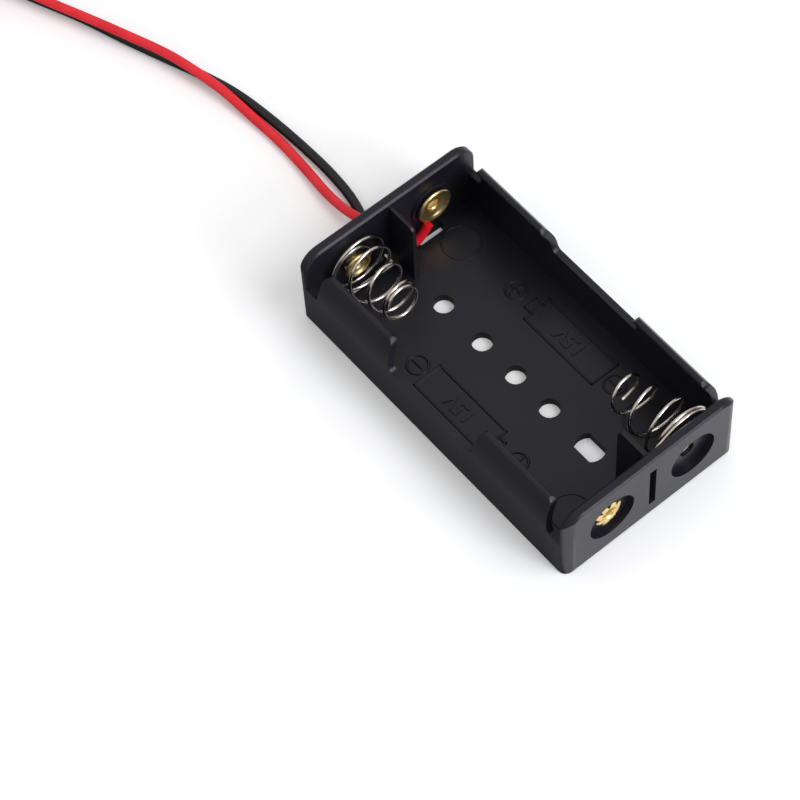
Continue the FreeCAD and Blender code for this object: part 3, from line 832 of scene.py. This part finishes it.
leads = {
    "diameter": 1.5,  # mm
    "lineSteps": 10,  # points between two of the route's
    "roundSteps": 6,
    "strandDiameter": 0.6,
    "strandTail": 5.0,
    "strandInset": 0.3,  # towards the turn's centre
    "strandBury": 0.4,  # inside the insulation
    "strandTwist": 6.0,  # mm along for a whole twist
    "strandSteps": 24,
    "strandSides": 8,
    "coilCentre": (-0.1135, -0.0250),  # m, as are the routes
    "coilRadius": 0.0085,
    "coilStart": 115.0,  # degrees
    "coilSweep": 312.0,
    "coilSteps": 26,
    "tipLean": 35.0,
    "each": (
        {"name": "red_lead_insulation", "colour": redPvc, "slot": "red_insulation",
         "height": 0.0026, "nodes": ["red_lead", "red_lead_coil"], "tip": "red_lead_tip",
         "core": "red_lead_core", "exit": (-0.029, 0.0019, 0.0023), "length": 0.142,
         "route": (
             (-0.02635, 0.00589, 0.00501), (-0.0263, 0.0042, 0.0025), (-0.0270, 0.00185, 0.0023),
             (-0.0298, 0.0019, 0.0023), (-0.0326, 0.0010, 0.00255), (-0.0361, -0.0005, 0.0025),
             (-0.0416, -0.0006, 0.0015), (-0.0482, 0.0002, 0.0008), (-0.0552, 0.0005, 0.0008),
             (-0.0613, 0.0001, 0.00095), (-0.0673, -0.0005, 0.0019), (-0.0724, -0.0016, 0.0025),
             (-0.0780, -0.0028, 0.00255), (-0.0846, -0.0052, 0.0025), (-0.0916, -0.0079, 0.00255),
             (-0.0992, -0.0110, 0.0025), (-0.1064, -0.0136, 0.0026), (-0.1124, -0.0154, 0.0026),
             (-0.1171, -0.0173, 0.0026),
         )},
        {"name": "black_lead_insulation", "colour": blackPvc, "slot": "black_insulation",
         "height": 0.00102, "nodes": ["black_lead", "black_lead_coil"], "tip": "black_lead_tip",
         "core": "black_lead_core", "exit": (-0.029, -0.0018, 0.0010), "length": 0.141,
         "route": (
             (-0.02635, -0.0046, 0.00255), (-0.0264, -0.0032, 0.0025), (-0.0271, -0.00195, 0.00175),
             (-0.0298, -0.0017, 0.0009), (-0.0336, 0.0, 0.0008), (-0.0384, 0.0019, 0.0008),
             (-0.0446, 0.0026, 0.0008), (-0.0520, 0.0025, 0.0008), (-0.0596, 0.0020, 0.0008),
             (-0.0666, 0.0011, 0.0008), (-0.0729, -0.0008, 0.0008), (-0.0794, -0.0032, 0.0008),
             (-0.0864, -0.0057, 0.0008), (-0.0932, -0.0078, 0.0008), (-0.1000, -0.0106, 0.00085),
             (-0.1066, -0.0134, 0.0010), (-0.1124, -0.0154, 0.00102), (-0.1171, -0.0173, 0.00102),
         )},
    ),
}


def coilSpot(values, radius, angle, z):
    turn = math.radians(angle)
    x, y = values["coilCentre"]
    return (x + radius * math.cos(turn), y + radius * math.sin(turn), z)


def barFaces(rows, sides, first=0):
    # the sides of a bar of rows rings, and a face over each end
    quads = gridQuads(rows, sides, False, True, first).tolist()
    return quads + [list(range(first, first + sides)),
                    list(range(first + (rows - 1) * sides, first + rows * sides))]


def strandTip(values, one):
    # fine strands twisted together, six round a middle one: each centre circles the bundle's axis
    # as it runs
    end = values["coilStart"] + values["coilSweep"]
    radius = values["coilRadius"] - values["strandInset"] * mm
    start = np.array(coilSpot(values, radius, end, one["height"]))
    tangent = math.radians(end + 90 + values["tipLean"])
    along = np.array([math.cos(tangent), math.sin(tangent), 0])
    side = np.array([-along[1], along[0], 0])
    up = np.array([0, 0, 1.0])
    fine = values["strandDiameter"] / 6 * mm
    s = np.linspace(-values["strandBury"], values["strandTail"], values["strandSteps"]) * mm
    v = np.linspace(0, 2 * np.pi, values["strandSides"], endpoint=False)
    points, faces, count = [], [], 0
    for k in range(7):
        phase = s / (values["strandTwist"] * mm) * 2 * np.pi + k * np.pi / 3
        out = 0 if k == 6 else 2 * fine
        sway = out * (np.cos(phase)[:, None] * side + np.sin(phase)[:, None] * up)
        centre = start + s[:, None] * along + sway
        ring = fine * (np.cos(v)[None, :, None] * side + np.sin(v)[None, :, None] * up)
        points.append((centre[:, None] + ring).reshape(-1, 3))
        faces += barFaces(len(s), len(v), count)
        count += len(s) * len(v)
    piece = meshFrom(one["tip"] + "_strands", np.concatenate(points), faces)
    return finishPiece(piece, strand, "holder", [one["tip"]])


def repaint(node, material):
    node.data.materials.clear()
    node.data.materials.append(material)


def addLead(values, one):
    curve = bpy.data.curves.new(one["name"], "CURVE")
    curve.dimensions = "3D"
    spots = list(one["route"])
    for i in range(1, values["coilSteps"] + 1):
        angle = values["coilStart"] + values["coilSweep"] * i / values["coilSteps"]
        spots.append(coilSpot(values, values["coilRadius"], angle, one["height"]))
    line = curve.splines.new("NURBS")
    line.points.add(len(spots) - 1)
    for point, spot in zip(line.points, spots):
        point.co = (*spot, 1)
    line.order_u = 3
    line.use_endpoint_u = True
    line.resolution_u = values["lineSteps"]
    curve.bevel_depth = values["diameter"] / 2 * mm
    curve.bevel_resolution = values["roundSteps"]
    curve.use_fill_caps = True
    piece = bpy.data.objects.new(one["name"], curve)
    finishPiece(piece, one["colour"], "holder", one["nodes"])
    tip = strandTip(values, one)
    repaint(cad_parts[one["core"]], strand)
    return piece, tip


madeLeads = [addLead(leads, one) for one in leads["each"]]
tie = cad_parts["lead_tie"]
repaint(tie, band)
print("leads laid")
